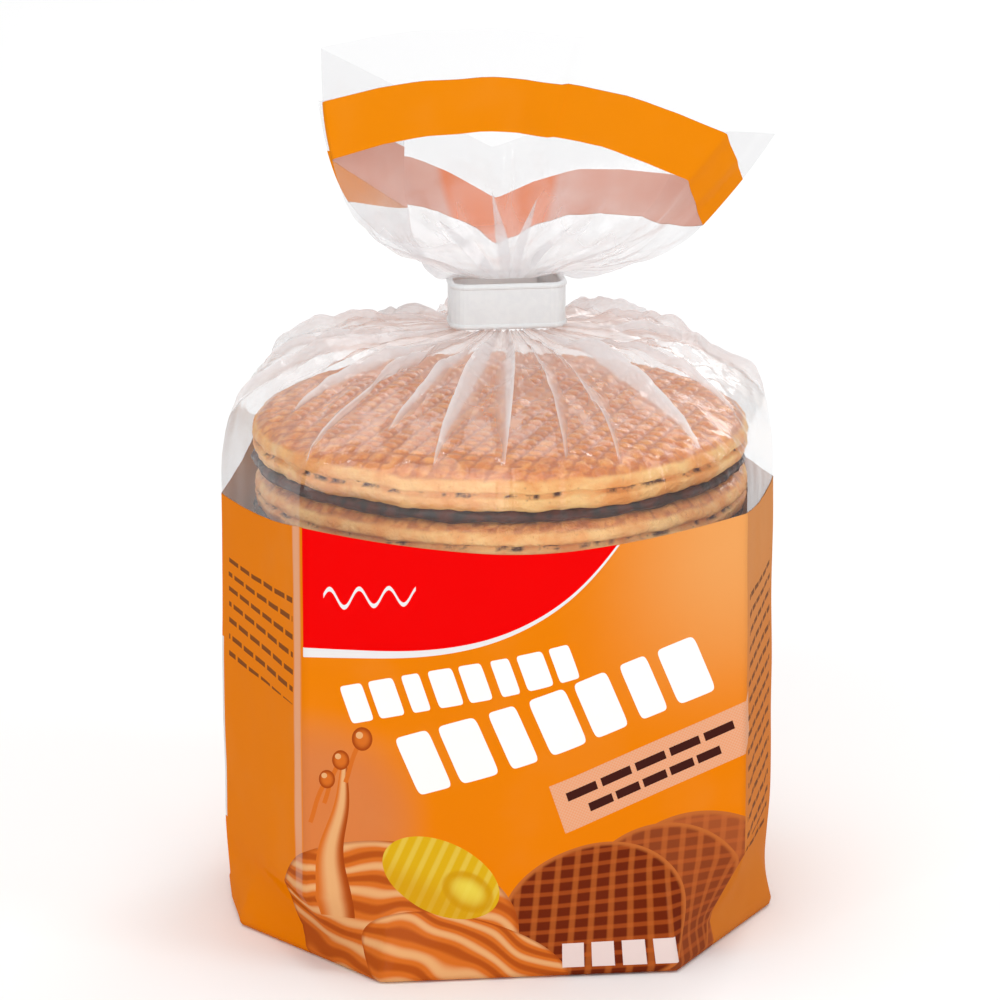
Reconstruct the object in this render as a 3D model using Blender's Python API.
"""A clip-closed block-bottom bag of ten syrup waffles, with its white closure strip.

Metres, +Z up. The bag stands on Z = 0 with its printed front facing -Y, and the origin
is the middle of the footprint. Sizes are worked out in millimetres and scaled on the way
into the meshes. Two solids: the filled bag up to its film, and the strip round its neck.
"""

import math

import bmesh
import bpy
from mathutils import Vector

MM = 0.001

# The stack inside, which sets the bag's size.
WAFFLE_RADIUS = 48.0
WAFFLE_PITCH = 9.8
WAFFLE_COUNT = 10
STACK_HEIGHT = WAFFLE_PITCH * WAFFLE_COUNT

# The film tube round the stack, drawn tight over four corner creases and two side creases.
FILM_RADIUS = WAFFLE_RADIUS + 0.9
CREASE_XY = 41.3
SIDE_CREASE_X = 52.8
STEPS = 8                    # facets in each half of a panel

# The foot: the block bottom's four corners are tucked under, each to its own height.
FOOT_FRONT = (28.0, 49.4)
FOOT_SIDE = (51.6, 13.0)
FOOT_EDGE = 1.6
TUCK_HEIGHTS = [((1, -1), 20.0), ((1, 1), 15.0), ((-1, 1), 17.0), ((-1, -1), 15.0)]

# The shoulder: share of the way in from the tube to the neck, and the film's height there.
SHOULDER = [
    (0.0, 89.0), (0.004, 92.0), (0.018, 95.0), (0.042, 97.6), (0.08, 99.9), (0.14, 102.4),
    (0.22, 104.8), (0.32, 107.0), (0.44, 108.9), (0.57, 110.4), (0.7, 111.4), (0.85, 112.1),
]
PLEATS = 9
PLEAT_DEPTH = 1.5

# The neck inside the closure strip.
NECK_X = 1.5
NECK_HALF = (9.3, 3.6)
NECK_CORNER = 2.0
STRIP_BOTTOM = 113.5
STRIP_HEIGHT = 8.8
STRIP_TOP = STRIP_BOTTOM + STRIP_HEIGHT
NECK_CLEARANCE = 0.7         # how far above and below the strip the film starts to spread

# The open fan of film above the strip: its eight creases and panel middles, in girth order
# from the front's middle towards +X. Each is a curve: two points it bends past, its end.
FAN = [
    ((2.0, -5.5, 138.0), (3.0, -12.0, 156.0), (4.5, -24.0, 172.5)),
    ((20.0, -6.5, 124.5), (30.0, -10.0, 136.0), (47.5, -13.0, 160.0)),
    ((25.0, -1.0, 123.6), (34.0, 1.0, 121.0), (52.5, 1.0, 148.5)),
    ((21.0, 11.0, 124.0), (33.0, 22.0, 125.0), (41.0, 33.0, 143.0)),
    ((2.0, 14.0, 124.0), (2.0, 30.0, 130.0), (3.0, 48.0, 144.0)),
    ((-21.0, 11.0, 124.5), (-29.0, 22.0, 130.0), (-31.0, 34.0, 150.0)),
    ((-18.0, 2.5, 124.0), (-18.0, 6.5, 138.0), (-16.0, 12.0, 156.0)),
    ((-27.0, -3.5, 124.0), (-34.0, -6.0, 140.0), (-34.5, -9.0, 169.0)),
]
FAN_RINGS = 10
FAN_WALL = 1.0
FAN_FLOOR = 4                # the ring at which the fan's hollow ends

# The closure strip: two stiff edge beads with a flat web between them.
STRIP_PATH_HALF = (10.6, 4.85)
STRIP_CORNER = 2.8
STRIP_WEB = 0.7
STRIP_BEAD = 1.2
STRIP_LAP_OFFSET = 1.6       # how far the outer end runs outside the inner one
STRIP_LAP_X = 6.5
BEAD_SIDES = 10


def clear_scene():
    for obj in list(bpy.data.objects):
        bpy.data.objects.remove(obj, do_unlink=True)


def material(name, colour, roughness):
    made = bpy.data.materials.new(name)
    made.use_nodes = True
    shader = made.node_tree.nodes["Principled BSDF"]
    shader.inputs["Base Color"].default_value = (*colour, 1.0)
    shader.inputs["Roughness"].default_value = roughness
    shader.inputs["Metallic"].default_value = 0.0
    return made


def smooth(x):
    x = min(max(x, 0.0), 1.0)
    return x * x * (3.0 - 2.0 * x)


def mix(a, b, t):
    return a + (b - a) * t


def mirrored(x, y):
    return [(sx * x, sy * y) for sx, sy in ((1, -1), (1, 1), (-1, 1), (-1, -1))]


def girth_angles():
    """Directions round the axis, one of them on each crease and each corner of the foot."""
    total = 8 * STEPS
    angles = [-math.pi / 2 + math.tau * i / total for i in range(total)]
    for x, y in mirrored(*FOOT_FRONT) + mirrored(*FOOT_SIDE):
        exact = math.atan2(y, x)
        nearest = min(range(total), key=lambda i: abs(math.remainder(angles[i] - exact, math.tau)))
        angles[nearest] = angles[nearest] + math.remainder(exact - angles[nearest], math.tau)
    return angles


ANGLES = girth_angles()
COUNT = len(ANGLES)
CIRCLE = [
    (FILM_RADIUS * math.cos(math.tau * k / 96), FILM_RADIUS * math.sin(math.tau * k / 96))
    for k in range(96)
]


def convex_hull(points):
    """Corners of the tightest outline round the points, anticlockwise."""
    points = sorted(set(points))
    sides = []
    for run in (points, points[::-1]):
        side = []
        for p in run:
            while len(side) > 1 and (
                (side[-1][0] - side[-2][0]) * (p[1] - side[-2][1])
                - (side[-1][1] - side[-2][1]) * (p[0] - side[-2][0])
            ) <= 0.0:
                side.pop()
            side.append(p)
        sides += side[:-1]
    return sides


def tight_ring(corners):
    """Film drawn tight round the stack and some corners, read off in each direction."""
    hull = convex_hull(CIRCLE + list(corners))
    ring = []
    for angle in ANGLES:
        dx, dy = math.cos(angle), math.sin(angle)
        reach = FILM_RADIUS
        for (ax, ay), (bx, by) in zip(hull, hull[1:] + hull[:1]):
            ex, ey = bx - ax, by - ay
            cross = dx * ey - dy * ex
            if abs(cross) < 1e-9:
                continue
            distance = (ax * ey - ay * ex) / cross
            along = (ax * dy - ay * dx) / cross
            if distance > 0.0 and -1e-6 <= along <= 1.0 + 1e-6:
                reach = max(reach, distance)
        ring.append((reach * dx, reach * dy))
    return ring


def tube_ring(z):
    """The film tube at a height: its corner creases fade into the foot's tucked corners."""
    corners = []
    for (sx, sy), height in TUCK_HEIGHTS:
        t = min(1.0, z / height)
        corners.append((sx * mix(33.0, CREASE_XY, t), sy * mix(33.0, CREASE_XY, t)))
        for x, y in (FOOT_FRONT, FOOT_SIDE):
            corners.append((sx * x * mix(1.0, 0.9, t), sy * y * mix(1.0, 0.9, t)))
    side = mix(FOOT_SIDE[0], SIDE_CREASE_X, smooth(z / 20.0))
    return tight_ring(corners + [(side, 0.0), (-side, 0.0)])


def rounded_rectangle(half, corner, distance):
    """Point at a distance along a rounded rectangle, from its front middle towards +X."""
    a, b = half
    arc = corner * math.pi / 2
    runs = [
        ("line", (0.0, -b), (1.0, 0.0), a - corner),
        ("arc", (a - corner, -b + corner), -math.pi / 2, arc),
        ("line", (a, -b + corner), (0.0, 1.0), 2 * (b - corner)),
        ("arc", (a - corner, b - corner), 0.0, arc),
        ("line", (a - corner, b), (-1.0, 0.0), 2 * (a - corner)),
        ("arc", (-a + corner, b - corner), math.pi / 2, arc),
        ("line", (-a, b - corner), (0.0, -1.0), 2 * (b - corner)),
        ("arc", (-a + corner, -b + corner), math.pi, arc),
        ("line", (-a + corner, -b), (1.0, 0.0), a - corner),
    ]
    for kind, at, way, length in runs:
        if distance <= length:
            if kind == "line":
                return at[0] + way[0] * distance, at[1] + way[1] * distance
            turn = way + distance / corner
            return at[0] + corner * math.cos(turn), at[1] + corner * math.sin(turn)
        distance -= length
    return 0.0, -b


NECK_GIRTH = 4 * sum(NECK_HALF) - 8 * NECK_CORNER + math.tau * NECK_CORNER
NECK_RING = []
for index in range(COUNT):
    neck_x, neck_y = rounded_rectangle(NECK_HALF, NECK_CORNER, NECK_GIRTH * index / COUNT)
    NECK_RING.append((NECK_X + neck_x, neck_y))


def pleat(i):
    """Uneven folds that run into the neck."""
    turn = math.tau * i / COUNT
    return PLEAT_DEPTH * (
        0.7 * math.sin(PLEATS * turn + 0.9 * math.sin(2 * turn))
        + 0.3 * math.sin((PLEATS + 6) * turn + 1.7)
    )


def shoulder_ring(tube, share, height):
    """The domed film over the top of the stack."""
    ring = []
    for i, ((bx, by), (nx, ny)) in enumerate(zip(tube, NECK_RING)):
        fold = pleat(i) * math.sin(math.pi * smooth(share * 1.15)) if share < 0.87 else 0.0
        ring.append(Vector((mix(bx, nx, share), mix(by, ny, share), height + fold)))
    return ring


def fan_point(i, t):
    """The film above the strip, from the neck at t = 0 to the open edge at t = 1."""
    first, part = divmod(i, STEPS)
    part /= STEPS
    start, end = FAN[first], FAN[(first + 1) % 8]
    nx, ny = NECK_RING[i]
    points = [Vector((nx, ny, STRIP_TOP + NECK_CLEARANCE))]
    points += [Vector(a).lerp(Vector(b), part) for a, b in zip(start, end)]
    if first in (7, 0, 3, 4):
        side = -1.0 if first in (7, 0) else 1.0
        for k, bow in ((2, 2.0), (3, 4.0)):
            points[k] += Vector((0.0, side * bow, 0.7 * bow)) * math.sin(math.pi * part)
    weights = ((1 - t) ** 3, 3 * t * (1 - t) ** 2, 3 * t * t * (1 - t), t**3)
    return sum((p * w for p, w in zip(points, weights)), Vector())


def inner_point(rings, k, i):
    """A point one wall's thickness inside the fan, mitred between its two neighbours."""
    low, high = rings[max(k - 1, 0)], rings[min(k + 1, len(rings) - 1)]
    here = rings[k]
    up = high[i] - low[i]
    before = (here[i] - here[i - 1]).cross(up).normalized()
    after = (here[(i + 1) % COUNT] - here[i]).cross(up).normalized()
    middle = (before + after).normalized()
    return here[i] - middle * min(3.4, FAN_WALL / max(0.05, middle.dot(after)))


def bag_rings():
    """Rings of points: the foot, the tube, the shoulder, the fan's outside, then its inside."""
    rings = []
    foot = tube_ring(0.0)
    for share, z in ((0.45, 0.0), (0.8, 0.0), (1.0 - FOOT_EDGE / 50.0, 0.0), (0.992, 0.4)):
        rings.append([Vector((share * x, share * y, z)) for x, y in foot])
    for z in (1.4, 5.0, 8.5, 12.0, 15.0, 17.0, 20.0, 35.0, 52.0, 70.0):
        rings.append([Vector((x, y, z)) for x, y in tube_ring(z)])
    tube = tube_ring(70.0)
    rings += [shoulder_ring(tube, share, height) for share, height in SHOULDER]
    for z in (STRIP_BOTTOM - NECK_CLEARANCE, STRIP_BOTTOM + STRIP_HEIGHT / 2):
        rings.append([Vector((x, y, z)) for x, y in NECK_RING])
    fan = [[fan_point(i, k / FAN_RINGS) for i in range(COUNT)] for k in range(FAN_RINGS + 1)]
    rings += fan
    for k in range(FAN_RINGS, FAN_FLOOR - 1, -1):
        rings.append([inner_point(fan, k, i) for i in range(COUNT)])
    return rings


def finish(name, mesh, look):
    bmesh.ops.recalc_face_normals(mesh, faces=mesh.faces)
    data = bpy.data.meshes.new(name)
    mesh.to_mesh(data)
    mesh.free()
    data.shade_smooth()
    data.set_sharp_from_angle(angle=math.radians(40))
    data.materials.append(look)
    obj = bpy.data.objects.new(name, data)
    bpy.context.scene.collection.objects.link(obj)
    return obj


def make_bag():
    """One closed skin over all the rings, with its foot and its hollow closed by a fan each."""
    mesh = bmesh.new()
    rings = bag_rings()
    rows = [[mesh.verts.new(p * MM) for p in ring] for ring in rings]
    for low, high in zip(rows, rows[1:]):
        for i in range(COUNT):
            j = (i + 1) % COUNT
            mesh.faces.new((low[i], low[j], high[j], high[i]))
    floor = sum(rings[-1], Vector()) / COUNT
    for ring, middle in ((rows[0], Vector((0.0, 0.0, 0.0))), (rows[-1][::-1], floor)):
        centre = mesh.verts.new(middle * MM)
        for i in range(COUNT):
            mesh.faces.new((centre, ring[(i + 1) % COUNT], ring[i]))
    return finish("bag", mesh, material("bag_film", (0.95, 0.36, 0.04), 0.3))


def strip_outline():
    """The strip's section, thickness by height: a web with a round bead on each edge."""
    radius = STRIP_BEAD / 2
    reach = STRIP_HEIGHT / 2 - radius
    start = math.asin(STRIP_WEB / 2 / radius)
    outline = []
    for end in (1, -1):
        for k in range(BEAD_SIDES + 1):
            turn = start + (math.tau - 2 * start) * k / BEAD_SIDES
            outline.append((-end * radius * math.sin(turn), end * (reach - radius * math.cos(turn))))
    return outline


def strip_path():
    """The strip's centreline: from its inner end at the back, once round, and over itself."""
    a, b = STRIP_PATH_HALF
    c, lap = STRIP_CORNER, STRIP_LAP_OFFSET
    corners = [
        ((-a + c, b - c), 90.0),
        ((-a + c, -b + c), 180.0),
        ((a - c, -b + c), 270.0),
        ((a - c, b + lap - c), 0.0),
    ]
    path = [(STRIP_LAP_X, b), (0.0, b)]
    for (cx, cy), start in corners:
        for k in range(7):
            turn = math.radians(start + 90.0 * k / 6)
            path.append((cx + c * math.cos(turn), cy + c * math.sin(turn)))
    path += [(0.0, b + lap), (-STRIP_LAP_X, b + lap)]
    return [Vector((NECK_X + x, y, 0.0)) for x, y in path]


def make_strip():
    path, outline = strip_path(), strip_outline()
    middle = STRIP_BOTTOM + STRIP_HEIGHT / 2
    mesh = bmesh.new()
    rows = []
    for k, point in enumerate(path):
        before, after = path[max(k - 1, 0)], path[min(k + 1, len(path) - 1)]
        way = (after - before).normalized()
        out = Vector((way.y, -way.x, 0.0))
        rows.append([
            mesh.verts.new((point + out * n + Vector((0.0, 0.0, middle + h))) * MM)
            for n, h in outline
        ])
    count = len(outline)
    for low, high in zip(rows, rows[1:]):
        for i in range(count):
            j = (i + 1) % count
            mesh.faces.new((low[i], low[j], high[j], high[i]))
    ends = [mesh.faces.new(rows[0]), mesh.faces.new(rows[-1])]
    bmesh.ops.triangulate(mesh, faces=ends)
    return finish("closure_strip", mesh, material("white_plastic", (0.86, 0.86, 0.86), 0.35))


def main():
    clear_scene()
    make_bag()
    make_strip()


main()
